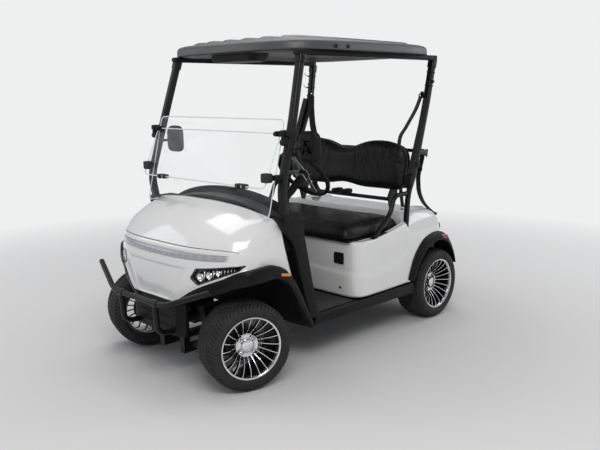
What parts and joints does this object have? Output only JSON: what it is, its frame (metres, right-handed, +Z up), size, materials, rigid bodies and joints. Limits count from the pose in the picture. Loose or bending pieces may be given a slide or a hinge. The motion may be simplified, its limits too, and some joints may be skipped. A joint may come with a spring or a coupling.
{
  "type": "golf cart",
  "caption": "Electric two-seat golf cart with roof, folding windshield, bench seat, bag well, wrap-round brush guard and alloy wheels, front wheels turned.",
  "frame": {"origin": "on the floor under the middle of the cart's box", "axes": "+X forward, +Y to the cart's left, +Z up"},
  "size_m": [2.31, 1.344, 1.85],
  "materials": {
    "gloss_white": "gloss",
    "satin_black": "satin",
    "black_plastic": "matte",
    "graphite": "satin",
    "black_metal": "satin",
    "clear_pane": "clear",
    "lamp_lens": "clear",
    "red_lens": "gloss",
    "amber_lens": "gloss",
    "black_vinyl": "grained",
    "rubber": "matte",
    "tyre": "matte",
    "rim_alloy": "machined",
    "mirror_case": "satin",
    "webbing": "woven",
    "cast_metal": "rough",
    "steel": "plain"
  },
  "bodies": {
    "chassis": {"frame_rails": "black_metal", "cross_members": "black_metal", "front_subframe": "black_metal", "floor_pan": "rubber", "side_sills": "black_plastic", "battery_block": "black_plastic", "drive_motor": "cast_metal", "rear_axle": "cast_metal", "rear_suspension": "black_metal", "front_suspension": "black_metal", "front_cowl": "gloss_white", "cowl_covers": "satin_black", "light_bar": "lamp_lens", "headlights": "lamp_lens", "front_bumper": "black_plastic", "front_flares": "satin_black", "rear_flares": "satin_black", "side_markers": "amber_lens", "brush_guard": "black_metal", "rear_body": "gloss_white", "tail_lights": "red_lens", "charge_port": "black_plastic", "bag_well_mat": "rubber", "rear_bumper": "black_plastic", "dash": "black_plastic", "footwell_wall": "rubber", "pedals": "rubber", "steering_column": "black_plastic", "windshield": "clear_pane", "windshield_clips": "rubber", "front_struts": "black_metal", "rear_struts": "black_metal", "roof": "graphite", "roof_frame": "black_plastic", "side_mirrors": "mirror_case", "backrest_cushion": "black_vinyl", "backrest_panel": "black_plastic", "seat_frame": "black_metal", "seat_belts": "webbing", "bag_rack": "black_metal", "bag_straps": "webbing"},
    "front_left_knuckle": {"front_left_knuckle": "cast_metal"},
    "front_right_knuckle": {"front_right_knuckle": "cast_metal"},
    "front_left_wheel": {"front_left_tyre": "tyre", "front_left_rim": "rim_alloy"},
    "front_right_wheel": {"front_right_tyre": "tyre", "front_right_rim": "rim_alloy"},
    "rear_left_wheel": {"rear_left_tyre": "tyre", "rear_left_rim": "rim_alloy"},
    "rear_right_wheel": {"rear_right_tyre": "tyre", "rear_right_rim": "rim_alloy"},
    "tie_rod": {"tie_rod": "steel"},
    "pitman_arm": {"pitman_arm": "steel"},
    "steering_wheel": {"steering_wheel": "rubber"},
    "seat_lid": {"seat_board": "black_plastic", "seat_cushion": "black_vinyl"}
  },
  "joints": [
    {"name": "front_left_steer", "type": "hinge", "parent": "chassis", "child": "front_left_knuckle", "pos_m": [0.785, 0.417, 0.238], "axis": [0, 0, 1], "range_deg": [-15, 51]},
    {"name": "front_right_steer", "type": "hinge", "parent": "chassis", "child": "front_right_knuckle", "pos_m": [0.785, -0.417, 0.238], "axis": [0, 0, 1], "range_deg": [-15, 51]},
    {"name": "tie_rod_hinge", "type": "hinge", "parent": "front_left_knuckle", "child": "tie_rod", "pos_m": [0.69465, 0.44636, 0.238], "axis": [0, 0, 1], "range_deg": [-51, 15]},
    {"name": "pitman_turn", "type": "hinge", "parent": "chassis", "child": "pitman_arm", "pos_m": [0.785, 0, 0.25], "axis": [0, 0, 1], "range_deg": [-15, 51]},
    {"name": "steering_wheel_turn", "type": "hinge", "parent": "chassis", "child": "steering_wheel", "pos_m": [0.12, 0.27, 1.06], "axis": [-0.766, 0, 0.6428], "range_deg": [-180, 612]},
    {"name": "front_left_spin", "type": "hinge", "parent": "front_left_knuckle", "child": "front_left_wheel", "pos_m": [0.80478, 0.47787, 0.238], "axis": [0.309, 0.9511, 0], "continuous": true},
    {"name": "front_right_spin", "type": "hinge", "parent": "front_right_knuckle", "child": "front_right_wheel", "pos_m": [0.76522, -0.47787, 0.238], "axis": [0.309, 0.9511, 0], "continuous": true},
    {"name": "rear_left_spin", "type": "hinge", "parent": "chassis", "child": "rear_left_wheel", "pos_m": [-0.864, 0.502, 0.238], "axis": [0, 1, 0], "continuous": true},
    {"name": "rear_right_spin", "type": "hinge", "parent": "chassis", "child": "rear_right_wheel", "pos_m": [-0.864, -0.502, 0.238], "axis": [0, 1, 0], "continuous": true},
    {"name": "seat_lid_lift", "type": "hinge", "parent": "chassis", "child": "seat_lid", "pos_m": [-0.54, 0, 0.735], "axis": [0, -1, 0], "range_deg": [0, 60]}
  ],
  "couplings": [
    {"joint": "front_right_steer", "follows": "front_left_steer", "ratio": 1},
    {"joint": "tie_rod_hinge", "follows": "front_left_steer", "ratio": -1},
    {"joint": "pitman_turn", "follows": "front_left_steer", "ratio": 1},
    {"joint": "steering_wheel_turn", "follows": "front_left_steer", "ratio": 12}
  ]
}
